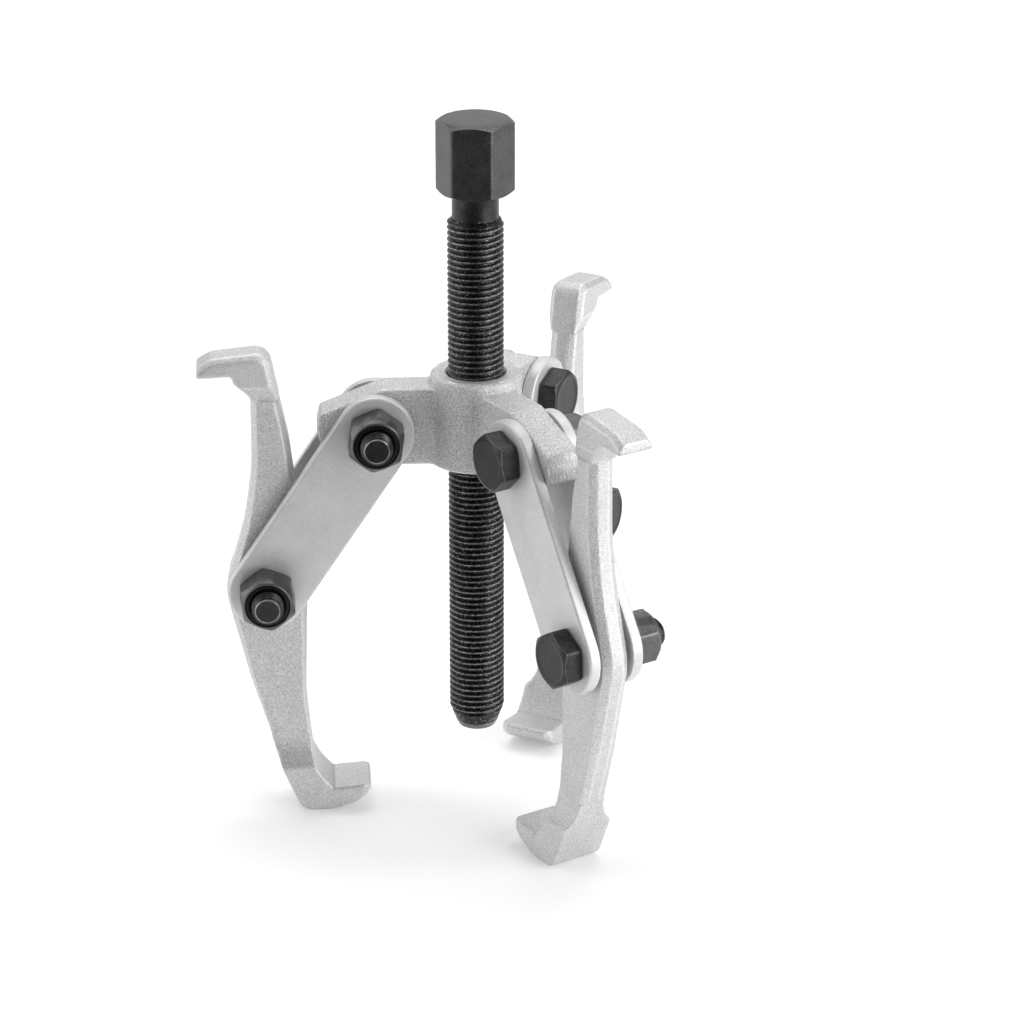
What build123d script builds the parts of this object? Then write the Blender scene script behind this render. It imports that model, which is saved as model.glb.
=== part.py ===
from build123d import *
import math
import os

os.makedirs("parts", exist_ok=True)

# Three-jaw reversible gear puller, millimetres, +Z up.
# Origin: on the screw axis, in the plane of the hub's underside.
# Each arm is drawn along +X with its pivots along Y, then turned about Z.
ARMS = [("a", 180.0), ("b", 300.0), ("c", 60.0)]

# ---- driving dimensions -------------------------------------------------
HUB_R = 11.4            # hub outside radius
HUB_H = 23.2            # hub height
HUB_BORE_R = 7.00       # hole for the centre screw
ARM_T = 9.4             # arm thickness
ARM_TOP = 20.2          # top of the arms
ARM_BOTTOM = 0.4        # underside of the arms
ARM_REACH = 39.5        # radius of the arm's nose

YOKE_PIVOT_X = 25.0     # radius of the upper pivots
YOKE_PIVOT_Z = 9.5
LINK_PITCH = 50.0       # distance between the two holes of a link
LINK_LEAN = 33.4        # link angle from straight down, outwards
LINK_W = 19.4
LINK_T = 3.0
LINK_IN = 4.8           # inner face of a link from the arm's mid-plane
LINK_OUT = LINK_IN + LINK_T

BOLT_R = 3.95           # M8 shank
PIVOT_BORE_R = 4.02     # running bore in arm and jaw
LINK_HOLE_R = 4.05
HEAD_AF = 13.0
HEAD_H = 5.2
NUT_AF = 13.0
NUT_H = 7.8
BOLT_END = 18.8         # bolt end from the arm's mid-plane
BOLT_PITCH = 1.25
RING_R = 5.50           # nylon ring of the lock nut

JAW_T = 7.2             # jaw shank thickness
JAW_FLAT = 3.0          # flat left between the long bevels
JAW_BEVEL = 1.4         # bevel depth on the long edges
SHANK_HIGH = 17.6       # the shank ends here and the upper hook begins
SHANK_LOW = -73.5       # the lower hook begins here
LOWER_CREASE = -81.0    # the flare above the lower hook ends here
UPPER_HOOK_W = 9.5
LOWER_HOOK_W = 14.4

SCREW_PITCH = 1.5
SCREW_CREST_R = 6.93    # M14 x 1.5 thread
SCREW_ROOT_R = 6.03
SCREW_TOP = 63.0        # top of the thread
NECK_R = 5.75
HEX_BASE = 69.2         # underside of the drive hexagon
HEX_TOP = 87.5
HEX_AF = 17.0
SCREW_END = -71.0       # lower end of the threaded rod
CONE_START = -66.9      # the end taper starts here
TIP_END = -72.5         # bearing face of the thrust tip
TIP_R = 4.75
STEM_R = 2.50

lean = math.radians(LINK_LEAN)
JAW_PIVOT_X = YOKE_PIVOT_X + LINK_PITCH * math.sin(lean)
JAW_PIVOT_Z = YOKE_PIVOT_Z - LINK_PITCH * math.cos(lean)


def pivot_plane(x, z):
    """Plane across a pivot: its normal is +Y, its x is +X."""
    return Plane(origin=(x, 0, z), x_dir=(1, 0, 0), z_dir=(0, 1, 0))


def hex_corner(af):
    return af / math.sqrt(3.0)


# ---- yoke: hub with three arms -----------------------------------------
with BuildPart() as yoke:
    with BuildSketch(Plane.XY):
        Circle(HUB_R)
    extrude(amount=HUB_H)
    fillet(yoke.edges().group_by(Axis.Z)[-1], 1.4)
    for tag, az in ARMS:
        with BuildSketch(Plane(origin=(0, 0, 0), x_dir=(math.cos(math.radians(az)),
                                                        math.sin(math.radians(az)), 0),
                               z_dir=(math.sin(math.radians(az)),
                                      -math.cos(math.radians(az)), 0))):
            with BuildLine():
                Polyline((0, ARM_BOTTOM), (0, ARM_TOP), (23.0, ARM_TOP),
                         (38.6, 13.9), (ARM_REACH, 10.1), (38.6, 6.3),
                         (25.0, ARM_BOTTOM), close=True)
            make_face()
        extrude(amount=ARM_T / 2, both=True)
    inner = [e for e in yoke.edges().filter_by(Axis.Z)
             if math.hypot(e.center().X, e.center().Y) < HUB_R + 1.0]
    fillet(inner, 4.0)
    noses = [e for e in yoke.edges()
             if math.hypot(e.center().X, e.center().Y) > HUB_R + 8.0
             and e.center().Z > 5.0
             and abs(e.tangent_at(0.5).Z) < 0.9]
    fillet(noses, 0.7)
    with BuildSketch(Plane.XY):
        Circle(HUB_BORE_R)
    extrude(amount=HUB_H, mode=Mode.SUBTRACT)
    mouth = [e for e in yoke.edges().filter_by(GeomType.CIRCLE)
             if abs(e.radius - HUB_BORE_R) < 0.01]
    chamfer(mouth, 0.8)
    for tag, az in ARMS:
        a = math.radians(az)
        with BuildSketch(Plane(origin=(YOKE_PIVOT_X * math.cos(a),
                                       YOKE_PIVOT_X * math.sin(a), YOKE_PIVOT_Z),
                               x_dir=(math.cos(a), math.sin(a), 0),
                               z_dir=(math.sin(a), -math.cos(a), 0))):
            Circle(PIVOT_BORE_R)
        extrude(amount=ARM_T, both=True, mode=Mode.SUBTRACT)
yoke.part.label = "yoke"
export_step(yoke.part, "parts/yoke.step")


# ---- centre screw: threaded rod, neck and drive hexagon ------------------
# Right-hand M14 x 1.5 thread, drawn as grooves turned at the thread's pitch.
THREAD_TURNS = int((SCREW_TOP - SCREW_END) / SCREW_PITCH)
CREST_FLAT = 0.26
ROOT_FLAT = 0.24

rod_side = [(0, SCREW_END), (SCREW_CREST_R, SCREW_END)]
for k in range(THREAD_TURNS):
    z = SCREW_END + k * SCREW_PITCH
    mid_z = z + (CREST_FLAT + SCREW_PITCH) / 2
    rod_side += [(SCREW_CREST_R, z + CREST_FLAT), (SCREW_ROOT_R, mid_z - ROOT_FLAT / 2),
                 (SCREW_ROOT_R, mid_z + ROOT_FLAT / 2), (SCREW_CREST_R, z + SCREW_PITCH)]
rod_side += [(SCREW_CREST_R, SCREW_TOP - 0.4), (NECK_R, SCREW_TOP + 0.3), (NECK_R, HEX_BASE + 1),
             (0, HEX_BASE + 1)]

with BuildPart() as centre_screw:
    with BuildSketch(Plane.XZ):
        with BuildLine():
            Polyline(*rod_side, close=True)
        make_face()
        # end taper, and the socket of the thrust tip
        with BuildLine():
            Polyline((SCREW_CREST_R + 0.6, SCREW_END - 0.1), (5.35, SCREW_END - 0.1),
                     (5.35, SCREW_END), (SCREW_CREST_R + 0.05, CONE_START),
                     (SCREW_CREST_R + 0.6, CONE_START), close=True)
        make_face(mode=Mode.SUBTRACT)
        with BuildLine():
            Polyline((0, SCREW_END - 0.1), (STEM_R + 0.06, SCREW_END - 0.1),
                     (STEM_R + 0.06, SCREW_END + 6.1), (0, SCREW_END + 6.1), close=True)
        make_face(mode=Mode.SUBTRACT)
    revolve(axis=Axis.Z)
    with BuildSketch(Plane.XY.offset(HEX_BASE)):
        RegularPolygon(hex_corner(HEX_AF), 6, rotation=-8.6)
    extrude(amount=HEX_TOP - HEX_BASE)
    # 30 degree chamfers on both ends of the hexagon
    with BuildSketch(Plane.XZ):
        with BuildLine():
            Polyline((8.1, HEX_TOP + 0.1), (10.6, HEX_TOP + 0.1), (10.6, HEX_TOP - 1.4), close=True)
        make_face()
    revolve(axis=Axis.Z, mode=Mode.SUBTRACT)
    with BuildSketch(Plane.XZ):
        with BuildLine():
            Polyline((8.1, HEX_BASE - 0.1), (10.6, HEX_BASE - 0.1), (10.6, HEX_BASE + 1.4),
                     close=True)
        make_face()
    revolve(axis=Axis.Z, mode=Mode.SUBTRACT)
centre_screw.part.label = "centre_screw"
export_step(centre_screw.part, "parts/centre_screw.step")

# ---- thrust tip: the plain cone under the thread ------------------------
with BuildPart() as thrust_tip:
    with BuildSketch(Plane.XZ):
        with BuildLine():
            Polyline((0, TIP_END), (TIP_R, TIP_END), (5.35, SCREW_END - 0.05),
                     (STEM_R, SCREW_END - 0.05), (STEM_R, SCREW_END + 5.6),
                     (STEM_R - 0.4, SCREW_END + 6.0), (0, SCREW_END + 6.0), close=True)
        make_face()
    revolve(axis=Axis.Z)
thrust_tip.part.label = "thrust_tip"
export_step(thrust_tip.part, "parts/thrust_tip.step")

# ---- strap link, in the rest pose, one plate at +Y ----------------------
with BuildPart() as link_plate:
    with BuildSketch(pivot_plane(0, 0).offset(LINK_IN)):
        with Locations((0, 0)):
            SlotCenterToCenter(LINK_PITCH, LINK_W, rotation=90)
        with Locations((0, LINK_PITCH / 2), (0, -LINK_PITCH / 2)):
            Circle(LINK_HOLE_R, mode=Mode.SUBTRACT)
    extrude(amount=LINK_T)
    rims = [e for e in link_plate.edges()
            if abs(e.center().Y - LINK_OUT) < 0.01 and not
            (e.geom_type == GeomType.CIRCLE and e.radius < 5.0)]
    fillet(rims, 0.5)

# ---- jaw in the rest pose -----------------------------------------------
# side outline, as (radius from the screw axis, height), with corner radii
JAW_OUTLINE = [
    (68.8, 23.8, 0.6), (68.6, 26.6, 0), (65.0, 28.6, 3.0), (51.0, 30.1, 4.0),
    (46.4, 7.4, 50.0), (43.5, -18.0, 50.0), (42.5, -33.0, 50.0), (43.4, -62.0, 60.0),
    (41.7, -81.6, 13.0), (36.9, -86.9, 0), (27.6, -86.1, 0.5), (27.2, -87.8, 0.9), (31.2, -91.4, 6.0),
    (37.4, -93.2, 12.0), (45.0, -93.1, 3.8), (50.2, -81.0, 40.0), (57.2, -58.5, 80.0),
    (63.3, -33.3, 16.0), (57.9, -15.0, 60.0), (55.8, -1.0, 60.0), (55.7, 18.6, 3.0),
    (59.7, 22.4, 0.8), (60.2, 24.1, 0.4),
]


def rounded_face(corners):
    """Face in the XZ plane from (x, z, corner radius) triples."""
    with BuildSketch(Plane.XZ) as side:
        with BuildLine():
            Polyline(*[(x, z) for x, z, r in corners], close=True)
        make_face()
        for x, z, r in corners:
            if r > 0:
                corner = [v for v in side.vertices() if math.hypot(v.X - x, v.Y - z) < 0.01]
                fillet(corner, r)
    return side.sketch.faces()[0]


# the shank between the hooks, run on a little way past both of its ends
SHANK_OUTLINE = [
    (51.0, 30.1, 0), (46.4, 7.4, 50.0), (43.5, -18.0, 50.0), (42.5, -33.0, 50.0),
    (43.4, -62.0, 60.0), (41.7, -81.6, 13.0), (38.6, -85.0, 0), (49.5, -85.0, 0), (50.2, -81.0, 0),
    (57.2, -58.5, 80.0), (63.3, -33.3, 16.0), (57.9, -15.0, 60.0), (55.8, -1.0, 60.0),
    (55.64, 30.0, 0),
]


def bevel_depth(z):
    """Full above the middle of the lower leg, running out towards the lower hook."""
    return JAW_BEVEL * min(max((z + 76.0) / 30.0, 0.08), 1.0)


def inset_outline(corners):
    """The same outline drawn in by the bevel depth at each corner."""
    out = []
    for k, (x, z, r) in enumerate(corners):
        before = Vector(corners[k - 1][0], corners[k - 1][1], 0)
        here = Vector(x, z, 0)
        after = Vector(corners[(k + 1) % len(corners)][0], corners[(k + 1) % len(corners)][1], 0)
        u = (here - before).normalized()
        w = (after - here).normalized()
        left = Vector(-u.Y - w.Y, u.X + w.X, 0).normalized()
        depth = bevel_depth(z) / max(left.dot(Vector(-u.Y, u.X, 0)), 0.5)
        out.append((x + left.X * depth, z + left.Y * depth, r))
    return out


outline = rounded_face(JAW_OUTLINE)
shank = rounded_face(SHANK_OUTLINE)
shank_flat = rounded_face(inset_outline(SHANK_OUTLINE))
HALF_FLAT = JAW_FLAT / 2
HALF_T = JAW_T / 2

with BuildPart() as jaw_base:
    # bevelled shank: a flat core and a layer on each side that draws in by the bevel
    extrude(shank, amount=HALF_FLAT, both=True)
    for side in (-1, 1):
        loft([shank.moved(Location((0, side * HALF_FLAT, 0))),
              shank_flat.moved(Location((0, side * HALF_T, 0)))], ruled=True)
    # keep the length between the two hooks
    with BuildSketch(Plane.XY.offset(SHANK_LOW)):
        with Locations((50, 0)):
            Rectangle(60, 20)
    extrude(amount=SHANK_HIGH - SHANK_LOW, mode=Mode.INTERSECT)

UPPER_EDGE = UPPER_HOOK_W / 2
LOWER_EDGE = LOWER_HOOK_W / 2

# upper hook: wider than the shank, with a short sloped step below it
with BuildPart() as upper_hook:
    extrude(outline, amount=UPPER_EDGE, both=True)
    with BuildSketch(Plane.YZ):
        with BuildLine():
            Polyline((-HALF_T, SHANK_HIGH), (-UPPER_EDGE, 21.2), (-UPPER_EDGE, 32),
                     (UPPER_EDGE, 32), (UPPER_EDGE, 21.2), (HALF_T, SHANK_HIGH), close=True)
        make_face()
    extrude(amount=90, mode=Mode.INTERSECT)
    crown = [e for e in upper_hook.edges()
             if abs(abs(e.center().Y) - UPPER_EDGE) < 0.01
             and (e.center().Z > 26.0 or e.center().X < 51.5) and e.center().Z > 21.5]
    chamfer(crown, 1.4)

# lower hook: wider still, with its bearing seat on top and a trimmed tip;
# each side flares out from the shank along a hollow arc
FLARE_OUT = LOWER_EDGE - HALF_T
FLARE_DROP = SHANK_LOW - LOWER_CREASE
FLARE_R = (FLARE_OUT ** 2 + FLARE_DROP ** 2) / (2 * FLARE_OUT)
FLARE_Y = HALF_T + FLARE_R - math.sqrt(FLARE_R ** 2 - (FLARE_DROP / 2) ** 2)
FLARE_Z = SHANK_LOW - FLARE_DROP / 2
with BuildPart() as lower_hook:
    extrude(outline, amount=LOWER_EDGE, both=True)
    with BuildSketch(Plane.YZ):
        with BuildLine():
            ThreePointArc((-HALF_T, SHANK_LOW), (-FLARE_Y, FLARE_Z), (-LOWER_EDGE, LOWER_CREASE))
            Polyline((-LOWER_EDGE, LOWER_CREASE), (-LOWER_EDGE, -95), (LOWER_EDGE, -95),
                     (LOWER_EDGE, LOWER_CREASE))
            ThreePointArc((LOWER_EDGE, LOWER_CREASE), (FLARE_Y, FLARE_Z), (HALF_T, SHANK_LOW))
            Line((HALF_T, SHANK_LOW), (-HALF_T, SHANK_LOW))
        make_face()
    extrude(amount=90, mode=Mode.INTERSECT)
    with BuildSketch(Plane.XY.offset(-95)):
        with BuildLine():
            Polyline((26.5, -5.0), (28.9, -LOWER_EDGE), (58, -LOWER_EDGE), (58, LOWER_EDGE),
                     (28.9, LOWER_EDGE), (26.5, 5.0), close=True)
        make_face()
    extrude(amount=30, mode=Mode.INTERSECT)
    rims = [e for e in lower_hook.edges()
            if abs(abs(e.center().Y) - LOWER_EDGE) < 0.01 and e.center().Z < LOWER_CREASE + 1]
    fillet(rims, 0.6)

with BuildPart() as jaw_shape:
    add(jaw_base.part)
    add(upper_hook.part)
    add(lower_hook.part)
    with BuildSketch(pivot_plane(JAW_PIVOT_X, JAW_PIVOT_Z)):
        Circle(PIVOT_BORE_R)
    extrude(amount=20, both=True, mode=Mode.SUBTRACT)


# ---- fasteners: built along +Z, then laid across a pivot ----------------
def bolt_body(turn):
    """M8 hex bolt; local z = distance from the arm's mid-plane, head below."""
    with BuildPart() as bolt:
        with BuildSketch(Plane.XY.offset(-LINK_OUT - HEAD_H)):
            RegularPolygon(hex_corner(HEAD_AF), 6, rotation=turn)
        extrude(amount=HEAD_H)
        with BuildSketch(Plane.XZ):
            with BuildLine():
                Polyline((6.1, -LINK_OUT - HEAD_H - 0.1), (8.6, -LINK_OUT - HEAD_H - 0.1),
                         (8.6, -LINK_OUT - HEAD_H + 1.35), close=True)
            make_face()
        revolve(axis=Axis.Z, mode=Mode.SUBTRACT)
        profile = [(0, -LINK_OUT), (BOLT_R, -LINK_OUT), (BOLT_R, 8.4)]
        for k in range(8):
            z = 8.4 + BOLT_PITCH * k
            profile += [(BOLT_R - 0.62, z + 0.52), (BOLT_R - 0.62, z + 0.68),
                        (BOLT_R, z + 1.15), (BOLT_R, z + BOLT_PITCH)]
        profile += [(3.0, BOLT_END - 0.1), (2.9, BOLT_END), (0, BOLT_END)]
        with BuildSketch(Plane.XZ):
            with BuildLine():
                Polyline(*profile, close=True)
            make_face()
        revolve(axis=Axis.Z)
    return bolt.part


def nut_body(turn):
    """Lock nut with a pocket for its nylon ring."""
    top = LINK_OUT + NUT_H
    with BuildPart() as nut:
        with BuildSketch(Plane.XY.offset(LINK_OUT)):
            RegularPolygon(hex_corner(NUT_AF), 6, rotation=turn)
            Circle(BOLT_R + 0.05, mode=Mode.SUBTRACT)
        extrude(amount=NUT_H)
        with BuildSketch(Plane.XY.offset(top)):
            Circle(RING_R)
        extrude(amount=-2.2, mode=Mode.SUBTRACT)
        with BuildSketch(Plane.XZ):
            with BuildLine():
                Polyline((6.0, top + 0.1), (8.6, top + 0.1), (8.6, top - 2.0), (7.2, top - 1.1),
                         close=True)
            make_face()
        revolve(axis=Axis.Z, mode=Mode.SUBTRACT)
        with BuildSketch(Plane.XZ):
            with BuildLine():
                Polyline((6.6, LINK_OUT - 0.1), (8.6, LINK_OUT - 0.1), (8.6, LINK_OUT + 0.8),
                         close=True)
            make_face()
        revolve(axis=Axis.Z, mode=Mode.SUBTRACT)
    return nut.part


with BuildPart() as nylon_ring:
    top = LINK_OUT + NUT_H
    with BuildSketch(Plane.XZ):
        with BuildLine():
            Polyline((BOLT_R + 0.03, top - 2.2), (RING_R - 0.02, top - 2.2),
                     (RING_R - 0.02, top - 0.5), (RING_R - 0.35, top - 0.2),
                     (BOLT_R + 0.45, top - 0.2), (BOLT_R + 0.03, top - 0.6), close=True)
        make_face()
    revolve(axis=Axis.Z)


def across(x, z):
    """Location that lays a fastener along +Y through the pivot at (x, z)."""
    return Location((x, 0, z), (-90, 0, 0))


YOKE_PIVOT = across(YOKE_PIVOT_X, YOKE_PIVOT_Z)
JAW_PIVOT = across(JAW_PIVOT_X, JAW_PIVOT_Z)
# how far each hexagon has been turned: yoke bolt, jaw bolt, yoke nut, jaw nut
HEX_TURNS = {"a": (10, 24, 22, 38), "b": (17, 27, 5, 33), "c": (40, 12, 50, 19)}


def place(shape, az, location):
    return shape.moved(location).rotate(Axis.Z, az)


for tag, az in ARMS:
    yb, jb, yn, jn = HEX_TURNS[tag]

    with BuildPart() as yoke_bolt:
        add(place(bolt_body(yb), az, YOKE_PIVOT))
    yoke_bolt.part.label = f"yoke_bolt_{tag}"
    export_step(yoke_bolt.part, f"parts/yoke_bolt_{tag}.step")

    with BuildPart() as jaw_bolt:
        add(place(bolt_body(jb), az, JAW_PIVOT))
    jaw_bolt.part.label = f"jaw_bolt_{tag}"
    export_step(jaw_bolt.part, f"parts/jaw_bolt_{tag}.step")

    with BuildPart() as yoke_nut:
        add(place(nut_body(yn), az, YOKE_PIVOT))
    yoke_nut.part.label = f"yoke_nut_{tag}"
    export_step(yoke_nut.part, f"parts/yoke_nut_{tag}.step")

    with BuildPart() as jaw_nut:
        add(place(nut_body(jn), az, JAW_PIVOT))
    jaw_nut.part.label = f"jaw_nut_{tag}"
    export_step(jaw_nut.part, f"parts/jaw_nut_{tag}.step")

    with BuildPart() as yoke_nut_ring:
        add(place(nylon_ring.part, az, YOKE_PIVOT))
    yoke_nut_ring.part.label = f"yoke_nut_ring_{tag}"
    export_step(yoke_nut_ring.part, f"parts/yoke_nut_ring_{tag}.step")

    with BuildPart() as jaw_nut_ring:
        add(place(nylon_ring.part, az, JAW_PIVOT))
    jaw_nut_ring.part.label = f"jaw_nut_ring_{tag}"
    export_step(jaw_nut_ring.part, f"parts/jaw_nut_ring_{tag}.step")

    # the link centre lies midway between its two pivots
    mid = Location(((YOKE_PIVOT_X + JAW_PIVOT_X) / 2, 0, (YOKE_PIVOT_Z + JAW_PIVOT_Z) / 2),
                   (0, -LINK_LEAN, 0))
    with BuildPart() as link_nut_side:
        add(place(link_plate.part, az, mid))
    link_nut_side.part.label = f"link_{tag}_nut_side"
    export_step(link_nut_side.part, f"parts/link_{tag}_nut_side.step")

    with BuildPart() as link_head_side:
        add(place(link_plate.part.mirror(Plane.XZ), az, mid))
    link_head_side.part.label = f"link_{tag}_head_side"
    export_step(link_head_side.part, f"parts/link_{tag}_head_side.step")

    with BuildPart() as jaw:
        add(jaw_shape.part.rotate(Axis.Z, az))
    jaw.part.label = f"jaw_{tag}"
    export_step(jaw.part, f"parts/jaw_{tag}.step")
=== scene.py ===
import math

import bmesh
import bpy
from mathutils import Matrix, Vector, kdtree, noise
from mathutils.geometry import tessellate_polygon


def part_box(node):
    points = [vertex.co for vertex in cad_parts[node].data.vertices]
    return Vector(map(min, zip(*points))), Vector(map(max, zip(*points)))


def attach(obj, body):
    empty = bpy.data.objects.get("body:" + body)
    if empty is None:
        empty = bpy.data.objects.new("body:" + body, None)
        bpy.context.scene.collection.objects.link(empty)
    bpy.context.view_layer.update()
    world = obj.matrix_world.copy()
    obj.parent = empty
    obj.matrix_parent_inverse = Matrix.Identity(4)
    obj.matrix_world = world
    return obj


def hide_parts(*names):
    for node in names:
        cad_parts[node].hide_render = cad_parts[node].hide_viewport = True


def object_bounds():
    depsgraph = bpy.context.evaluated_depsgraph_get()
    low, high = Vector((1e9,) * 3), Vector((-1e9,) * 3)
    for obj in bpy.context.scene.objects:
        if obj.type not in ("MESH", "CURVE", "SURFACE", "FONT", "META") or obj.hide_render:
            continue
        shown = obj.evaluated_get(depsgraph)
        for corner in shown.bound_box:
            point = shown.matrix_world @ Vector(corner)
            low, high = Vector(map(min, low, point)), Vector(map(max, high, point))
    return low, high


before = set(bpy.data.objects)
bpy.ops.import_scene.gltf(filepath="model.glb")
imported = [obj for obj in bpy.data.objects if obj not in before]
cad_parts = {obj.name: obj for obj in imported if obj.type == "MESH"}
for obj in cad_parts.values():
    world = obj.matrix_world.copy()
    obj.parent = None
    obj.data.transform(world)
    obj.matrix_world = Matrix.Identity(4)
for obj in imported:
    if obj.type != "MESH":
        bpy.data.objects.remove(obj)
cad_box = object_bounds()

MM = 0.001
ARMS = {"a": 180.0, "b": 300.0, "c": 60.0}

# dimensions shared with the CAD model, in millimetres
LINK_IN = 4.8           # strap link's inner face, from the arm's mid-plane
LINK_OUT = 7.8          # its outer face
LINK_PITCH = 50.0       # between its two holes
LINK_W = 19.4
LEAN = math.radians(33.4)
YOKE_PIVOT = (25.0, 9.5)    # distance from the screw's axis, and height
JAW_PIVOT = (YOKE_PIVOT[0] + LINK_PITCH * math.sin(LEAN), YOKE_PIVOT[1] - LINK_PITCH * math.cos(LEAN))
PIVOT_BORE_R = 4.02     # running bore in arm and jaw
LINK_HOLE_R = 4.05
HUB_BORE_R = 7.0
NOSE_R = 38.6           # where each arm's trimmed nose begins

# fasteners: M8 bolt and lock nut
HEX_AF = 13.0
BOLT_END = 18.8
BOLT_THREAD_FROM = 8.4
BOLT_PITCH = 1.25
BOLT_CREST_R = 3.93
BOLT_ROOT_R = 3.33
BOLT_TIP_R = 2.92
SHANK_R = 3.95
HEAD_H = 5.2
NUT_H = 7.8
RING_DEPTH = 2.2        # the nylon ring's seat, down from the nut's top
# how far each hexagon is turned, in degrees: upper bolt, lower bolt, upper nut, lower nut
HEX_TURNS = {"a": (10, 24, 22, 38), "b": (17, 27, 5, 33), "c": (40, 12, 50, 19)}

# centre screw: M14 thread, neck and drive hexagon
SCREW_END = -71.0
THREAD_TOP = 62.9
PITCH = 1.5
CREST_R = 6.93
ROOT_R = 6.03
TAPER_END_R = 5.35      # the thread tapers to this over TAPER_H at its lower end
TAPER_H = 4.1
NECK_R = 5.75
DRIVE_BASE = 69.2
DRIVE_TOP = 87.5
DRIVE_AF = 17.0
DRIVE_TURN = -8.6
SOCKET_R = 2.56         # seat of the thrust tip's stem
SOCKET_TOP = -64.9

# how the forgings are remeshed and marked, in metres
VOXEL = 0.00040
SMOOTHING_PASSES = 2
CREASE = math.radians(12)
MARK_STEP = 0.0002
CONVEX_REACH = 0.0005
HOLLOW_REACH = 0.0007


# ---------------------------------------------------------------- materials
class Nodes:
    """A small helper that adds and links shader nodes."""

    def __init__(self, name):
        self.mat = bpy.data.materials.new(name)
        self.mat.use_nodes = True
        self.tree = self.mat.node_tree
        self.bsdf = self.tree.nodes["Principled BSDF"]
        self.coord = self.add("ShaderNodeTexCoord").outputs["Object"]

    def add(self, kind, **props):
        node = self.tree.nodes.new(kind)
        for key, value in props.items():
            setattr(node, key, value)
        return node

    def put(self, socket, value):
        if isinstance(value, bpy.types.NodeSocket):
            self.tree.links.new(value, socket)
        else:
            socket.default_value = value

    def math(self, op, a, b=0.0, c=0.0, clamp=False):
        node = self.add("ShaderNodeMath", operation=op, use_clamp=clamp)
        for socket, value in zip(node.inputs, (a, b, c)):
            self.put(socket, value)
        return node.outputs[0]

    def noise(self, scale, detail=2.0, rough=0.55, coord=None, distortion=0.0):
        node = self.add("ShaderNodeTexNoise")
        self.put(node.inputs["Vector"], self.coord if coord is None else coord)
        node.inputs["Scale"].default_value = scale
        node.inputs["Detail"].default_value = detail
        node.inputs["Roughness"].default_value = rough
        node.inputs["Distortion"].default_value = distortion
        return node.outputs["Fac"]

    def stretch(self, x, y, z):
        node = self.add("ShaderNodeMapping")
        self.put(node.inputs["Vector"], self.coord)
        node.inputs["Scale"].default_value = (x, y, z)
        return node.outputs["Vector"]

    def ramp(self, fac, low, high, to_low=0.0, to_high=1.0):
        node = self.add("ShaderNodeMapRange", clamp=True)
        self.put(node.inputs["Value"], fac)
        for key, value in (("From Min", low), ("From Max", high), ("To Min", to_low), ("To Max", to_high)):
            self.put(node.inputs[key], value)
        return node.outputs["Result"]

    def mix(self, fac, a, b):
        """Mixes two colours; sockets 6, 7 and result 2 are the node's colour ones."""
        node = self.add("ShaderNodeMix", data_type="RGBA")
        self.put(node.inputs["Factor"], fac)
        self.put(node.inputs[6], a)
        self.put(node.inputs[7], b)
        return node.outputs[2]

    def edge(self, radius, low=0.02, high=0.25):
        """1 along convex and concave edges, 0 on flats."""
        bevel = self.add("ShaderNodeBevel", samples=6)
        bevel.inputs["Radius"].default_value = radius
        geometry = self.add("ShaderNodeNewGeometry")
        dot = self.add("ShaderNodeVectorMath", operation="DOT_PRODUCT")
        self.put(dot.inputs[0], bevel.outputs["Normal"])
        self.put(dot.inputs[1], geometry.outputs["Normal"])
        away = self.math("SUBTRACT", 1.0, dot.outputs["Value"], clamp=True)
        return self.ramp(away, low, high)

    def edge_and_hollow_marks(self):
        """The edge marks stored on the mesh: 1 on outer edges, 0.5 on flats, 0 in hollows. They place
        burnished edges that are partly painted highlight, and painted shade in the hollows.
        """
        return self.add("ShaderNodeAttribute", attribute_name="edge_and_hollow_marks").outputs["Fac"]

    def xyz(self):
        node = self.add("ShaderNodeSeparateXYZ")
        self.put(node.inputs[0], self.coord)
        return node.outputs

    def radius(self):
        """Distance from the object's own z axis."""
        x, y, _ = self.xyz()
        return self.math("SQRT", self.math("ADD", self.math("MULTIPLY", x, x), self.math("MULTIPLY", y, y)))

    def bump(self, height, strength, distance):
        node = self.add("ShaderNodeBump")
        node.inputs["Strength"].default_value = strength
        node.inputs["Distance"].default_value = distance
        self.put(node.inputs["Height"], height)
        return node.outputs["Normal"]

    def centred(self, fac, weight):
        """A pattern moved to run either side of 0, then scaled."""
        return self.math("MULTIPLY", self.math("SUBTRACT", fac, 0.5), weight)

    def finish(self, colour, rough, metallic, normal, specular=0.5):
        self.put(self.bsdf.inputs["Base Color"], colour)
        self.put(self.bsdf.inputs["Roughness"], rough)
        self.bsdf.inputs["Metallic"].default_value = metallic
        self.bsdf.inputs["Specular IOR Level"].default_value = specular
        self.put(self.bsdf.inputs["Normal"], normal)
        return self.mat


def grey(v, warm=0.0):
    """A grey, or a slightly warm one."""
    return (v * (1 + warm), v, v * (1 - warm), 1.0)


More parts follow.
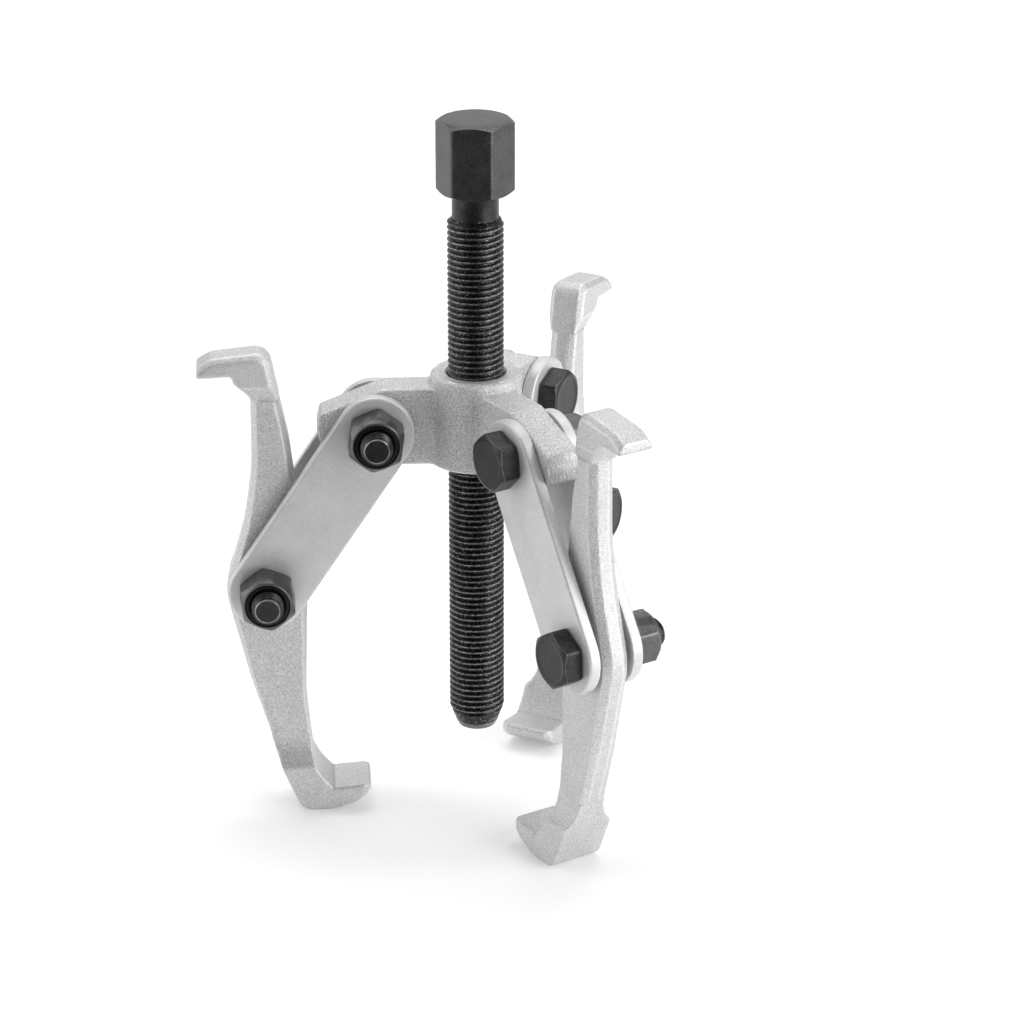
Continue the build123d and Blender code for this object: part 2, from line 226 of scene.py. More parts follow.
def forged_silver(name, base, contrast, grain, metallic, burnish_and_highlight, striations=False):
    """Satin silver over a blasted forging: fine speckle, soft mottling, burnished edges that are partly
    painted highlight, and painted shade in the hollows.
    """
    n = Nodes(name)
    fine = n.ramp(n.noise(4000, 1.0, 0.6), 0.28, 0.72)
    clump = n.ramp(n.noise(2300, 2.0, 0.6), 0.30, 0.70)
    cloud = n.noise(150, 4.0, 0.6)
    value = n.math("ADD", n.centred(fine, 0.70 * contrast), n.centred(clump, 0.14 * contrast))
    value = n.math("ADD", value, n.centred(cloud, 0.20))
    tone = n.ramp(value, -0.5, 0.5)
    colour = n.mix(tone, grey(base * 0.5, 0.004), grey(min(base * 1.5, 0.98)))
    marks = n.edge_and_hollow_marks()
    worn = n.math("MULTIPLY", n.ramp(marks, 0.55, 0.92), n.ramp(n.noise(1400, 3.0), 0.28, 0.55, 0.35, 1.0))
    hollow = n.ramp(marks, 0.45, 0.10)
    # outer edges painted near white: partly burnished wear, partly painted highlight
    colour = n.mix(n.math("MULTIPLY", worn, burnish_and_highlight), colour, grey(0.97))
    # hollows and concave edges painted darker: painted shade
    colour = n.mix(n.math("MULTIPLY", hollow, 0.45), colour, grey(base * 0.45))
    rough = n.ramp(n.math("ADD", fine, cloud), 0.3, 1.5, 0.40, 0.58)
    rough = n.math("SUBTRACT", rough, n.math("MULTIPLY", worn, 0.10))
    height = n.math("ADD", fine, n.math("MULTIPLY", clump, 0.9))
    if striations:
        # sheared trim face on the nose of each arm
        shear = n.noise(1.0, 2.0, 0.5, coord=n.stretch(2600, 2600, 190))
        nose = n.ramp(n.radius(), (NOSE_R - 1.0) * MM, NOSE_R * MM)
        calmer = n.math("SUBTRACT", 1.0, n.math("MULTIPLY", nose, 0.6))
        lines = n.math("MULTIPLY", n.math("MULTIPLY", shear, nose), 6.0)
        height = n.math("ADD", n.math("MULTIPLY", height, calmer), lines)
        colour = n.mix(n.math("MULTIPLY", nose, n.ramp(shear, 0.35, 0.6, 0.0, 0.5)), colour, grey(0.42))
    normal = n.bump(height, 1.0, grain)
    return n.finish(colour, rough, metallic, normal)


def strap_steel():
    """Rolled strip with a smooth satin plating and faint rolling marks."""
    n = Nodes("strap_satin")
    fine = n.ramp(n.noise(2600, 1.0, 0.6), 0.30, 0.70)
    cloud = n.noise(120, 4.0, 0.55)
    streak = n.noise(1.0, 2.0, 0.5, coord=n.stretch(420, 420, 2400))
    value = n.math("ADD", n.centred(fine, 0.22), n.centred(cloud, 0.45))
    value = n.math("ADD", value, n.centred(streak, 0.25))
    colour = n.mix(n.ramp(value, -0.5, 0.5), grey(0.46, 0.004), grey(0.84))
    # the rolled edge is rougher, with small bright nicks
    rim = n.edge(0.0009, 0.01, 0.12)
    nicks = n.math("MULTIPLY", rim, n.ramp(n.noise(1300, 2.0, 0.6), 0.42, 0.60))
    colour = n.mix(nicks, colour, grey(0.96))
    rough = n.ramp(n.math("ADD", fine, cloud), 0.3, 1.5, 0.42, 0.58)
    height = n.math("ADD", n.math("MULTIPLY", fine, 0.4), n.math("ADD", streak, nicks))
    normal = n.bump(height, 0.5, 0.00005)
    return n.finish(colour, rough, 0.5, normal)


def black_oxide():
    """Blackened screw: dark flanks, crests painted lighter as wear and painted highlight, worn edges,
    painted glints, the thread painted darker than the hexagon as shade, and a film of oil.
    """
    n = Nodes("screw_black_oxide")
    fine = n.ramp(n.noise(2300, 2.0, 0.65), 0.30, 0.70)
    cloud = n.noise(260, 4.0, 0.6)
    r = n.radius()
    _, _, z = n.xyz()
    below_neck = n.math("LESS_THAN", z, (THREAD_TOP + 0.3) * MM)
    on_thread = n.math("MULTIPLY", below_neck, n.math("LESS_THAN", r, (CREST_R + 0.27) * MM))
    crest = n.math("MULTIPLY", n.ramp(r, (CREST_R - 0.28) * MM, (CREST_R - 0.03) * MM), on_thread)
    crest_wear_and_highlight = n.math("MULTIPLY", crest, n.ramp(n.noise(1300, 3.0, 0.7), 0.40, 0.60, 0.15, 1.0))
    worn = n.math("MULTIPLY", n.edge(0.00045, 0.02, 0.3), n.math("SUBTRACT", 1.0, on_thread))
    worn = n.math("MULTIPLY", worn, n.ramp(n.noise(800, 3.0), 0.3, 0.6, 0.2, 1.0))
    tone = n.ramp(n.math("ADD", n.math("MULTIPLY", fine, 0.6), n.math("MULTIPLY", cloud, 0.8)), 0.25, 1.15)
    colour = n.mix(tone, grey(0.018), grey(0.070))
    # the thread and neck are painted darker than the hexagon: painted shade
    head = n.math("GREATER_THAN", z, (DRIVE_BASE - 0.2) * MM)
    colour = n.mix(head, colour, n.mix(tone, grey(0.050), grey(0.130)))
    # thread crests painted lighter: partly rubbed wear, partly painted highlight
    colour = n.mix(n.math("MULTIPLY", crest_wear_and_highlight, 0.75), colour, grey(0.40))
    colour = n.mix(n.math("MULTIPLY", worn, 0.45), colour, grey(0.36))
    # bright flecks painted on the thread: painted glints
    painted_glint = n.math("MULTIPLY", n.ramp(n.noise(2400, 1.0, 0.5), 0.64, 0.72), on_thread)
    colour = n.mix(n.math("MULTIPLY", painted_glint, 0.7), colour, grey(0.6))
    rough = n.ramp(n.math("ADD", fine, n.math("MULTIPLY", cloud, 0.5)), 0.1, 1.3, 0.26, 0.46)
    normal = n.bump(n.math("ADD", fine, n.math("MULTIPLY", cloud, 0.6)), 0.5, 0.00004)
    return n.finish(colour, rough, 1.0, normal)


def phosphate(name, dark, light, edge_tone, metallic, bolt=False):
    """Phosphated bolt or nut; object z runs along the bolt."""
    n = Nodes(name)
    fine = n.ramp(n.noise(2500, 2.0, 0.62), 0.30, 0.70)
    cloud = n.noise(330, 4.0, 0.6)
    value = n.math("ADD", n.math("MULTIPLY", fine, 0.6), n.math("MULTIPLY", cloud, 0.8))
    colour = n.mix(n.ramp(value, 0.25, 1.15), grey(dark), grey(light))
    worn = n.edge(0.0004, 0.02, 0.25)
    worn = n.math("MULTIPLY", worn, n.ramp(n.noise(900, 3.0), 0.3, 0.6, 0.25, 1.0))
    colour = n.mix(n.math("MULTIPLY", worn, 0.65), colour, grey(edge_tone))
    if bolt:
        r = n.radius()
        _, _, z = n.xyz()
        # ring on the end chamfer painted lighter: partly bare metal where it was turned, partly painted
        # highlight
        bare_ring_and_highlight = n.math("MULTIPLY", n.ramp(r, (BOLT_TIP_R - 0.08) * MM, BOLT_TIP_R * MM),
                      n.math("LESS_THAN", r, (BOLT_TIP_R + 0.24) * MM))
        bare_ring_and_highlight = n.math("MULTIPLY", bare_ring_and_highlight, n.ramp(z, (BOLT_END - 0.5) * MM, (BOLT_END - 0.4) * MM))
        bare_ring_and_highlight = n.math("MULTIPLY", bare_ring_and_highlight, n.ramp(n.noise(700, 3.0), 0.25, 0.6, 0.4, 1.0))
        colour = n.mix(n.math("MULTIPLY", bare_ring_and_highlight, 0.6), colour, grey(0.5))
    rough = n.ramp(value, 0.2, 1.2, 0.28, 0.46)
    normal = n.bump(value, 0.5, 0.00004)
    return n.finish(colour, rough, metallic, normal)


def nylon():
    """Moulded black nylon, slightly swirled."""
    n = Nodes("nylon_black")
    fine = n.noise(1800, 2.0, 0.5)
    swirl = n.noise(420, 3.0, 0.5, distortion=0.6)
    colour = n.mix(swirl, grey(0.003), grey(0.012))
    rough = n.ramp(fine, 0.3, 0.7, 0.28, 0.42)
    normal = n.bump(n.math("ADD", fine, swirl), 0.25, 0.00003)
    return n.finish(colour, rough, 0.0, normal, specular=0.22)


def tip_steel():
    """Turned tip: fine tool rings round the axis."""
    n = Nodes("tip_turned")
    _, _, z = n.xyz()
    r = n.radius()
    turned = n.math("SINE", n.math("MULTIPLY", n.math("ADD", r, z), 52000.0))
    fine = n.noise(2200, 3.0)
    colour = n.mix(fine, grey(0.10), grey(0.24))
    worn = n.edge(0.0004, 0.02, 0.25)
    colour = n.mix(n.math("MULTIPLY", worn, 0.5), colour, grey(0.55))
    rough = n.ramp(fine, 0.3, 0.7, 0.28, 0.42)
    normal = n.bump(n.math("ADD", turned, n.math("MULTIPLY", fine, 0.7)), 0.25, 0.00003)
    return n.finish(colour, rough, 0.8, normal)


MAT_YOKE = forged_silver("yoke_forged_silver", 0.62, 1.45, 0.00008, 0.74, 0.9, striations=True)
MAT_JAW = forged_silver("jaw_forged_silver", 0.61, 0.95, 0.00005, 0.66, 0.42)
MAT_LINK = strap_steel()
MAT_SCREW = black_oxide()
MAT_TIP = tip_steel()
MAT_BOLT = phosphate("bolt_phosphate", 0.022, 0.075, 0.42, 1.0, bolt=True)
MAT_NUT = phosphate("nut_phosphate", 0.075, 0.180, 0.50, 1.0)
MAT_NYLON = nylon()


# ------------------------------------------------------------------- meshes
def piece(name, bm, material, body, slot, node, matrix=None, sharp=32.0):
    """Turns a bmesh (metres) into a piece that rides on a body in place of a CAD node."""
    bmesh.ops.recalc_face_normals(bm, faces=bm.faces[:])
    mesh = bpy.data.meshes.new(name)
    bm.to_mesh(mesh)
    bm.free()
    mesh.materials.append(material)
    mesh.shade_smooth()
    mesh.set_sharp_from_angle(angle=math.radians(sharp))
    obj = bpy.data.objects.new(name, mesh)
    bpy.context.scene.collection.objects.link(obj)
    if matrix is not None:
        obj.matrix_world = matrix
    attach(obj, body)
    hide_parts(node)
    return obj


ROUND = [math.radians(5 * k) for k in range(72)]


def hex_angles(turn):
    """Angles round a hexagon, closer together at its corners."""
    steps = [-29.4, -28.2, -26.5, -22, -14, -5, 5, 14, 22, 26.5, 28.2, 29.4]
    return [math.radians(turn + 30 + 60 * k + s) for k in range(6) for s in steps]


def hexagon(af, turn, soften=0.25):
    """Radius of a hexagon with softened corners, as a function of the angle."""
    corner = af / math.sqrt(3.0) - soften

    def radius(angle):
        a = (math.degrees(angle) - turn) % 60.0 - 30.0
        flat = af / 2 / math.cos(math.radians(a))
        return min(flat, corner + 0.35 * (flat - corner)) if flat > corner else flat
    return radius


def bevel(height, slope, start):
    """Height of a face that is flat inside a radius and slopes outside it."""
    return lambda r: height + slope * max(r - start, 0.0)


def ring(bm, angles, radius, z):
    """One ring of vertices; radius is a number or a function of the angle, and so is z."""
    out = []
    for a in angles:
        r = radius(a) if callable(radius) else radius
        h = z(r) if callable(z) else z
        out.append(bm.verts.new((r * math.cos(a) * MM, r * math.sin(a) * MM, h * MM)))
    return out


def rings_of(bm, angles, profile):
    """The rings of a turned or hexagonal form, from its (radius, height) profile."""
    return [ring(bm, angles, r, z) for r, z in profile]


def skin(bm, rings, closed=False):
    """Joins each ring to the next with four-sided faces."""
    pairs = list(zip(rings, rings[1:]))
    if closed:
        pairs.append((rings[-1], rings[0]))
    for low, high in pairs:
        count = len(low)
        for k in range(count):
            m = (k + 1) % count
            bm.faces.new((low[k], low[m], high[m], high[k]))


def helix(bm, crest, root, pitch, z_low, z_high, limit=None, steps=56):
    """Right-hand thread between two planes, open at both ends. Returns its end loops."""
    profile = [(0.00, 0.0), (0.10, 0.0), (0.17, 0.10), (0.41, 0.88), (0.47, 1.0), (0.60, 1.0),
               (0.66, 0.88), (0.90, 0.10)]
    turns = int((z_high - z_low) / pitch) + 3
    start = z_low - 1.5 * pitch
    count = len(profile)
    grid = []
    for k in range(turns * steps + 1):
        a = 2 * math.pi * k / steps
        row = []
        for phase, lift in profile:
            z = start + pitch * (k / steps + phase)
            r = root + (crest - root) * lift
            if limit is not None:
                r = min(r, limit(z))
            row.append(bm.verts.new((r * math.cos(a) * MM, r * math.sin(a) * MM, z * MM)))
        grid.append(row)
    for k in range(turns * steps):
        for p in range(count - 1):
            bm.faces.new((grid[k][p], grid[k + 1][p], grid[k + 1][p + 1], grid[k][p + 1]))
        if k + steps < turns * steps + 1 and k + 1 + steps < turns * steps + 1:
            bm.faces.new((grid[k][-1], grid[k + 1][-1], grid[k + 1 + steps][0], grid[k + steps][0]))
    for z, normal in ((z_low, (0, 0, -1)), (z_high, (0, 0, 1))):
        geometry = bm.verts[:] + bm.edges[:] + bm.faces[:]
        bmesh.ops.bisect_plane(bm, geom=geometry, dist=1e-9, plane_co=(0, 0, z * MM), plane_no=normal,
                               clear_outer=True)
    loops = []
    for z in (z_low, z_high):
        loops.append([e for e in bm.edges if e.is_boundary
                      and all(abs(v.co.z - z * MM) < 1e-7 for v in e.verts)])
    return loops


def ring_edges(loop):
    """The edges that join a ring's vertices to each other."""
    return [e for k, v in enumerate(loop) for e in v.link_edges
            if e.other_vert(v) is loop[(k + 1) % len(loop)]]


def fill_between(bm, edges_a, edges_b):
    """Closes the flat gap between two edge loops."""
    bmesh.ops.triangle_fill(bm, edges=list(edges_a) + list(edges_b), use_beauty=True)


# ---- centre screw: real right-hand helix, neck and drive hexagon ----------
def screw_limit(z):
    """The end taper below, and the thread's lead-in chamfer above."""
    low = TAPER_END_R + (z - SCREW_END) * (CREST_R - TAPER_END_R) / TAPER_H
    high = NECK_R + 0.03 + (THREAD_TOP - z) * 1.1
    return max(min(CREST_R, low, high), 5.2)


def centre_screw():
    bm = bmesh.new()
    low, high = helix(bm, CREST_R, ROOT_R, PITCH, SCREW_END, THREAD_TOP, limit=screw_limit)
    wall = hexagon(DRIVE_AF, DRIVE_TURN)
    rings = rings_of(bm, hex_angles(DRIVE_TURN), (
        (NECK_R, THREAD_TOP), (NECK_R, 65.0), (NECK_R, 68.5), (5.85, 69.0), (6.3, DRIVE_BASE),
        (8.1, DRIVE_BASE),
        (wall, bevel(DRIVE_BASE - 0.1, 0.6, 8.1)), (wall, bevel(DRIVE_TOP + 0.1, -0.6, 8.1)),
        (8.15, DRIVE_TOP - 0.04), (7.95, DRIVE_TOP), (4.0, DRIVE_TOP), (1.2, DRIVE_TOP)))
    skin(bm, rings)
    bm.faces.new(rings[-1])
    fill_between(bm, high, ring_edges(rings[0]))
    angles = [math.radians(7.5 * k) for k in range(48)]
    socket = rings_of(bm, angles, ((SOCKET_R, SCREW_END), (SOCKET_R, SOCKET_TOP), (0.6, SOCKET_TOP)))
    skin(bm, socket)
    bm.faces.new(socket[-1])
    fill_between(bm, low, ring_edges(socket[0]))
    return piece("screw_threaded", bm, MAT_SCREW, "screw", "black_oxide", "centre_screw", sharp=40)


def thrust_tip():
    """Rounded cone, its stem in the screw's socket."""
    bm = bmesh.new()
    rings = rings_of(bm, ROUND, (
        (0.8, -72.5), (3.0, -72.5), (4.45, -72.5), (4.66, -72.44), (4.76, -72.3), (5.05, -71.7),
        (5.32, -71.15), (5.30, -71.05), (3.4, -71.05), (2.5, -71.05), (2.5, -70.0), (2.5, -65.6),
        (2.3, -65.2), (2.1, -65.0), (0.8, -65.0)))
    skin(bm, rings)
    bm.faces.new(rings[0])
    bm.faces.new(rings[-1])
    return piece("thrust_tip_turned", bm, MAT_TIP, "feed", "hardened_tip", "thrust_tip", sharp=35)


# ---- fasteners, built along z and laid across a pivot ---------------------
def across(az, pivot):
    """Frame of a pivot: x outwards, z along the bolt towards its nut."""
    a = math.radians(az)
    out, side = Vector((math.cos(a), math.sin(a), 0)), Vector((-math.sin(a), math.cos(a), 0))
    m = Matrix.Identity(4)
    m.col[0][:3] = out
    m.col[1][:3] = (0, 0, -1)
    m.col[2][:3] = side
    m.col[3][:3] = out * pivot[0] * MM + Vector((0, 0, pivot[1] * MM))
    return m


def bolt_limit(z):
    """The chamfer at the bolt's end."""
    return max(min(BOLT_CREST_R, BOLT_TIP_R + (BOLT_END - z) * 0.95), 2.9)


def bolt(turn):
    bm = bmesh.new()
    head, under = -LINK_OUT - HEAD_H, -LINK_OUT
    low, high = helix(bm, BOLT_CREST_R, BOLT_ROOT_R, BOLT_PITCH, BOLT_THREAD_FROM, BOLT_END, steps=40,
                      limit=bolt_limit)
    wall = hexagon(HEX_AF, turn)
    # flat crown with a low raised rim, then the 30 degree chamfer, flats, washer face and shank
    rings = rings_of(bm, hex_angles(turn), (
        (0.8, head + 0.12), (3.0, head + 0.12), (4.9, head + 0.12), (5.15, head + 0.10),
        (5.35, head + 0.01), (5.6, head), (6.0, head), (6.2, head + 0.05),
        (wall, bevel(head - 0.02, 0.58, 6.2)), (wall, bevel(under - 0.25, -0.4, 6.9)),
        (6.25, under - 0.22), (6.2, under), (SHANK_R, under), (SHANK_R, 0.0), (SHANK_R, BOLT_THREAD_FROM)))
    skin(bm, rings)
    bm.faces.new(rings[0])
    fill_between(bm, low, ring_edges(rings[-1]))
    bmesh.ops.triangle_fill(bm, edges=high, use_beauty=True)
    return bm


def nut(turn):
    bm = bmesh.new()
    top, foot = LINK_OUT + NUT_H, LINK_OUT
    wall = hexagon(HEX_AF, turn)
    # foot, flats, then the lip rolled over the nylon ring
    rings = rings_of(bm, hex_angles(turn), (
        (4.0, foot + 0.3), (4.3, foot), (6.3, foot),
        (wall, bevel(foot, 0.75, 6.45)), (wall, bevel(top - 0.75, -0.85, 6.3)),
        (6.25, top - 0.45), (6.08, top - 0.12), (5.9, top), (5.66, top - 0.03), (5.52, top - 0.25),
        (5.5, top - 1.0), (5.5, top - RING_DEPTH), (4.0, top - RING_DEPTH)))
    skin(bm, rings, closed=True)
    return bm


def nylon_ring():
    bm = bmesh.new()
    top = LINK_OUT + NUT_H
    rings = rings_of(bm, ROUND, (
        (3.98, top - RING_DEPTH), (5.48, top - RING_DEPTH), (5.48, top - 0.55), (5.40, top - 0.32),
        (5.18, top - 0.22), (4.75, top - 0.22), (4.45, top - 0.30), (4.15, top - 0.52), (3.98, top - 0.9)))
    skin(bm, rings, closed=True)
    return bm


# ---- strap links ----------------------------------------------------------
def strap(sign):
    """One link in its own frame: x across, z along its length, y out from the arm."""
    half, r = LINK_PITCH / 2, LINK_W / 2
    arc = 36
    outline = [(math.pi * k / arc, half) for k in range(arc + 1)]
    outline += [(math.pi + math.pi * k / arc, -half) for k in range(arc + 1)]
    # rolled-over edge outside, a small break inside: (inset, distance from the arm's mid-plane)
    section = [(0.22, LINK_IN), (0.06, LINK_IN + 0.06), (0.0, LINK_IN + 0.25), (0.0, LINK_OUT - 0.75),
               (0.05, LINK_OUT - 0.45), (0.18, LINK_OUT - 0.2), (0.42, LINK_OUT - 0.05), (0.75, LINK_OUT)]
    bm = bmesh.new()
    rings = []
    for inset, y in section:
        rings.append([bm.verts.new(((r - inset) * math.cos(a) * MM, sign * y * MM,
                                    ((r - inset) * math.sin(a) + c) * MM)) for a, c in outline])
    skin(bm, rings)
    holes = []
    for c in (half, -half):
        walls = []
        for grow, y in ((0.18, LINK_IN), (0.0, LINK_IN + 0.18), (0.0, LINK_OUT - 0.18), (0.18, LINK_OUT)):
            walls.append([bm.verts.new(((LINK_HOLE_R + grow) * math.cos(t) * MM, sign * y * MM,
                                        ((LINK_HOLE_R + grow) * math.sin(t) + c) * MM))
                          for t in (2 * math.pi * k / 48 for k in range(48))])
        skin(bm, walls)
        holes.append((walls[0], walls[-1]))
    for side, outer in ((0, rings[0]), (1, rings[-1])):
        loops = [outer] + [hole[side] for hole in holes]
        flat = [v for loop in loops for v in loop]
        for tri in tessellate_polygon([[(v.co.x, v.co.z, 0) for v in loop] for loop in loops]):
            if len(set(tri)) == 3:
                bm.faces.new([flat[k] for k in tri])
    return bm


def link_matrix(az):
    """Frame of a leg's strap links: midway between the two pivots, leaning outwards."""
    mid = Vector(((YOKE_PIVOT[0] + JAW_PIVOT[0]) / 2, 0, (YOKE_PIVOT[1] + JAW_PIVOT[1]) / 2)) * MM
    tilt = Matrix.Translation(mid) @ Matrix.Rotation(-LEAN, 4, "Y")
    return Matrix.Rotation(math.radians(az), 4, "Z") @ tilt


# ---- forgings: the CAD solid remeshed, softened and given a blasted skin ---
def edge_marks(source, verts):
    """0.5 on flats, up to 1 along the solid's outer edges and down to 0 in its hollows."""
    solid = bmesh.new()
    solid.from_mesh(source.data)
    bmesh.ops.remove_doubles(solid, verts=solid.verts, dist=2e-6)
    marks = ([], [])    # points along outer edges, and along hollows
    for edge in solid.edges:
        turn = edge.calc_face_angle_signed(0.0) if len(edge.link_faces) == 2 else 0.0
        if abs(turn) < CREASE:
            continue
        steps = int(edge.calc_length() / MARK_STEP) + 1
        p, q = (v.co for v in edge.verts)
        marks[turn < 0].extend(p.lerp(q, k / steps) for k in range(steps + 1))
    solid.free()
    trees = []
    for points in marks:
        tree = kdtree.KDTree(len(points) + 1)
        tree.insert((9, 9, 9), 0)   # a far point, so that no tree is empty
        for k, point in enumerate(points):
            tree.insert(point, k + 1)
        tree.balance()
        trees.append(tree)
    out = []
    for v in verts:
        outer = max(1 - trees[0].find(v.co)[2] / CONVEX_REACH, 0.0)
        inner = max(1 - trees[1].find(v.co)[2] / HOLLOW_REACH, 0.0)
        out.append(0.5 + 0.5 * outer - 0.5 * inner)
    return out


def forging(node, material, swell, guard):
    """A forged piece in place of a CAD node that is the whole of its body."""
    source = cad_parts[node]
    body = node
    work = bpy.data.objects.new(f"{node}_forging", source.data.copy())
    bpy.context.scene.collection.objects.link(work)
    remesh = work.modifiers.new("remesh", "REMESH")
    remesh.mode = "VOXEL"
    remesh.voxel_size = VOXEL
    remesh.adaptivity = 0.0
    depsgraph = bpy.context.evaluated_depsgraph_get()
    mesh = bpy.data.meshes.new_from_object(work.evaluated_get(depsgraph))
    work.modifiers.clear()
    bm = bmesh.new()
    bm.from_mesh(mesh)
    for _ in range(SMOOTHING_PASSES):
        bmesh.ops.smooth_vert(bm, verts=bm.verts, factor=0.5, use_axis_x=True, use_axis_y=True,
                              use_axis_z=True)
    bm.normal_update()
    marks = edge_marks(source, bm.verts)
    for v in bm.verts:
        rough = noise.noise(v.co * 1400.0) + 0.6 * noise.noise(v.co * 420.0)
        v.co += v.normal * (swell * rough)
        v.co = guard(v.co)
    bm.to_mesh(mesh)
    bm.free()
    # these marks place burnished edges, partly painted highlight, and painted shade in the hollows
    mesh.attributes.new("edge_and_hollow_marks", "FLOAT", "POINT").data.foreach_set("value", marks)
    mesh.materials.clear()
    mesh.materials.append(material)
    mesh.shade_smooth()
    work.data = mesh
    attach(work, body)
    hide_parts(node)
    return work


def pivot_guard(pivots, box):
    """Keeps the running bores open and the piece inside its CAD box."""
    low, high = box
    bore = PIVOT_BORE_R * MM
    arm_reach = 0.02

    def guard(co):
        for az, pivot in pivots:
            a = math.radians(az)
            out = co.x * math.cos(a) + co.y * math.sin(a)
            side = -co.x * math.sin(a) + co.y * math.cos(a)
            dx, dz = out - pivot[0] * MM, co.z - pivot[1] * MM
            d = math.hypot(dx, dz)
            if out > 0 and d < bore and abs(side) < arm_reach:
                grow = bore / max(d, 1e-6)
                out = pivot[0] * MM + dx * grow
                co = Vector((out * math.cos(a) - side * math.sin(a),
                             out * math.sin(a) + side * math.cos(a), pivot[1] * MM + dz * grow))
        return Vector([min(max(co[k], low[k]), high[k]) for k in range(3)])
    return guard


def hub_guard(pivots, box):
    """The same, and keeps the hub's bore open."""
    arms = pivot_guard(pivots, box)
    bore = HUB_BORE_R * MM

    def guard(co):
        r = math.hypot(co.x, co.y)
        if r < bore:
            co = Vector((co.x * bore / max(r, 1e-6), co.y * bore / max(r, 1e-6), co.z))
        return arms(co)
    return guard


def pivot_fasteners(tag, place, pivot, bolt_turn, nut_turn):
    """A pivot's bolt, lock nut and nylon ring."""
    m = across(ARMS[tag], pivot)
    for name, bm, material, slot, node in (
            (f"{place}_bolt_{tag}_hex", bolt(bolt_turn), MAT_BOLT, "bolt_steel", f"{place}_bolt_{tag}"),
            (f"{place}_nut_{tag}_lock", nut(nut_turn), MAT_NUT, "nut_steel", f"{place}_nut_{tag}"),
            (f"{place}_nut_ring_{tag}_nylon", nylon_ring(), MAT_NYLON, "nylon", f"{place}_nut_ring_{tag}")):
        piece(name, bm, material, f"link_pair_{tag}", slot, node, m)


def leg(tag, az):
    forging(f"jaw_{tag}", MAT_JAW, 0.00002, pivot_guard([(az, JAW_PIVOT)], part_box(f"jaw_{tag}")))
    for side, sign in (("nut_side", 1), ("head_side", -1)):
        piece(f"link_{tag}_{side}_strap", strap(sign), MAT_LINK, f"link_pair_{tag}", "link_steel",
              f"link_{tag}_{side}", link_matrix(az), sharp=35)
    upper_bolt, lower_bolt, upper_nut, lower_nut = HEX_TURNS[tag]
    pivot_fasteners(tag, "yoke", YOKE_PIVOT, upper_bolt, upper_nut)
    pivot_fasteners(tag, "jaw", JAW_PIVOT, lower_bolt, lower_nut)


centre_screw()
thrust_tip()
forging("yoke", MAT_YOKE, 0.000025, hub_guard([(az, YOKE_PIVOT) for az in ARMS.values()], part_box("yoke")))
for tag, az in ARMS.items():
    leg(tag, az)

# -------------------------------------------------------------------- stage
def matt(name, tone, roughness):
    """A plain matt material and its shader."""
    material = bpy.data.materials.new(name)
    material.use_nodes = True
    shader = material.node_tree.nodes["Principled BSDF"]
    shader.inputs["Base Color"].default_value = (tone, tone, tone, 1)
    shader.inputs["Roughness"].default_value = roughness
    return material, shader


floor_z = cad_box[0][2]
bpy.ops.mesh.primitive_plane_add(size=6.0, location=(0, 0, floor_z))
floor = bpy.context.object
floor.name = "floor"
paper, sheet = matt("paper", 0.93, 0.9)
sheet.inputs["Specular IOR Level"].default_value = 0.1
# a faint glow, as of a lit table top, keeps the paper white under the tool
sheet.inputs["Emission Color"].default_value = (1, 1, 1, 1)
sheet.inputs["Emission Strength"].default_value = 0.16
floor.data.materials.append(paper)

world = bpy.data.worlds.new("studio")
bpy.context.scene.world = world
world.use_nodes = True
sky = world.node_tree
direction = sky.nodes.new("ShaderNodeTexCoord").outputs["Generated"]
# the studio is darker on the photographer's side
towards = sky.nodes.new("ShaderNodeVectorMath")
towards.operation = "DOT_PRODUCT"
towards.inputs[1].default_value = (0.05, -0.97, 0.20)
sky.links.new(direction, towards.inputs[0])
shade = sky.nodes.new("ShaderNodeMapRange")
shade.interpolation_type = "SMOOTHSTEP"
for key, value in (("From Min", 0.25), ("From Max", 0.90), ("To Min", 0.45), ("To Max", 0.03)):
    shade.inputs[key].default_value = value
sky.links.new(towards.outputs["Value"], shade.inputs["Value"])
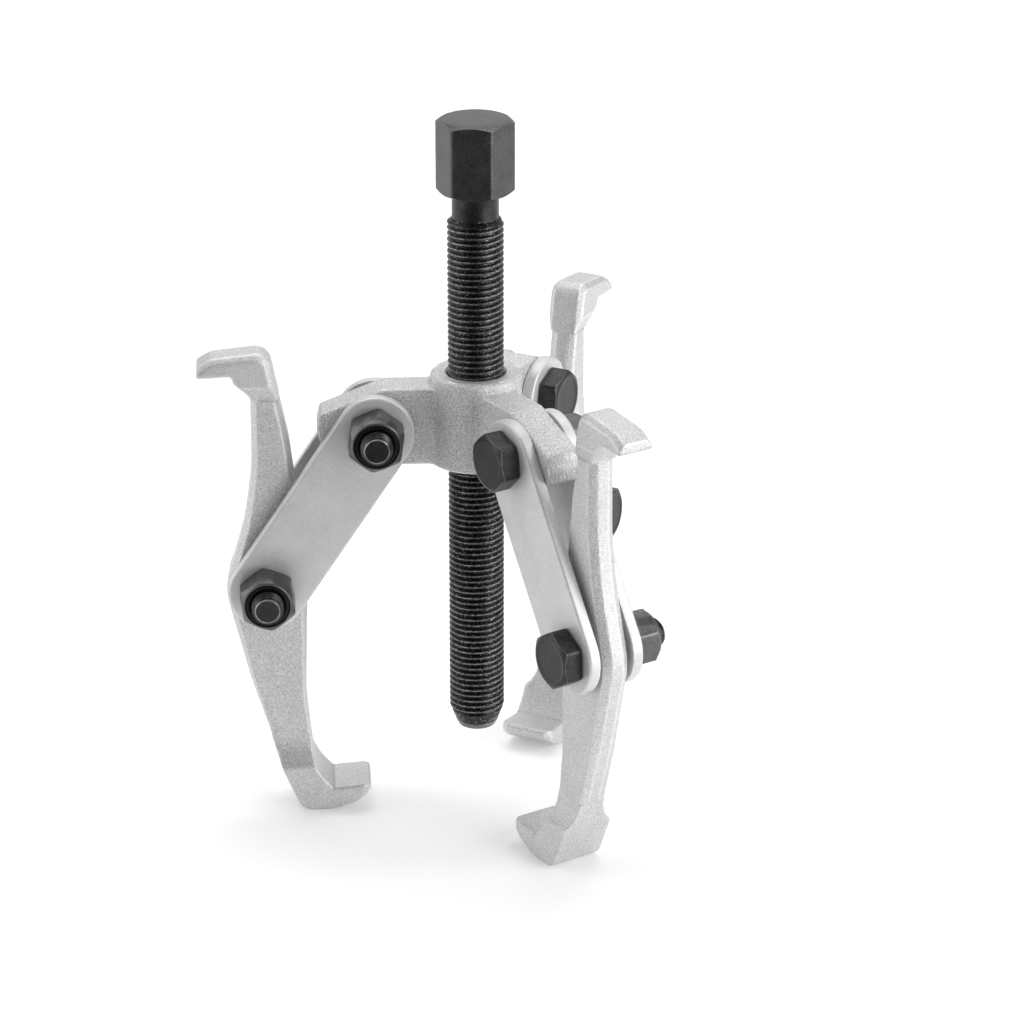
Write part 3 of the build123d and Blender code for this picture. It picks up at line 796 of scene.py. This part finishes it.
# the camera itself sees plain white beyond the floor
seen = sky.nodes.new("ShaderNodeLightPath").outputs["Is Camera Ray"]
strength = sky.nodes.new("ShaderNodeMix")
sky.links.new(seen, strength.inputs["Factor"])
sky.links.new(shade.outputs["Result"], strength.inputs["A"])
strength.inputs["B"].default_value = 1.0
sky.links.new(strength.outputs["Result"], sky.nodes["Background"].inputs["Strength"])
sky.nodes["Background"].inputs["Color"].default_value = (1, 1, 1, 1)


def softbox(name, place, aim, width, height, power, spread=180):
    """A rectangular area light that faces a point."""
    light = bpy.data.lights.new(name, "AREA")
    light.shape = "RECTANGLE"
    light.size, light.size_y = width, height
    light.energy = power
    light.spread = math.radians(spread)
    obj = bpy.data.objects.new(name, light)
    obj.location = place
    obj.rotation_euler = (Vector(aim) - Vector(place)).to_track_quat("-Z", "Y").to_euler()
    bpy.context.scene.collection.objects.link(obj)


softbox("key_right", (0.95, -0.50, 0.36), (0, 0.0, -0.05), 0.9, 0.9, 8.5)
softbox("low_right", (0.62, -0.72, 0.02), (0.0, 0.0, -0.07), 0.5, 0.25, 1.6)
softbox("fill_left", (-1.05, 0.10, 0.36), (0, 0.05, -0.05), 0.8, 0.9, 3.6)
softbox("overhead", (0, 0.55, 1.35), (0, 0.35, 0), 1.8, 1.2, 6.3, 110)
softbox("back", (0.1, 1.7, 0.75), (0, 0, 0.1), 1.8, 0.9, 3.4)

# dark card on the photographer's side, seen only in the metal's reflections
bpy.ops.mesh.primitive_plane_add(size=1.0, location=(0, -0.46, floor_z + 0.002))
card = bpy.context.object
card.name = "dark_card"
card.scale = (0.75, 0.56, 1)
felt, _ = matt("felt", 0.03, 1.0)
card.data.materials.append(felt)
card.visible_camera = False
card.visible_diffuse = False
card.visible_shadow = False

# ------------------------------------------------------------------- camera
camera_data = bpy.data.cameras.new("camera")
camera_data.sensor_fit = "HORIZONTAL"
camera_data.sensor_width = 36.0
camera_data.lens = 134.6
camera_data.clip_start = 0.05
camera_data.clip_end = 20
camera = bpy.data.objects.new("camera", camera_data)
bpy.context.scene.collection.objects.link(camera)
camera.location = (-0.04195, -0.87558, 0.34728)
look = Vector((0.0523, 0.9227, -0.3821)).normalized()
camera.rotation_euler = look.to_track_quat("-Z", "Y").to_euler()
bpy.context.scene.camera = camera
bpy.context.scene.view_settings.view_transform = "Standard"
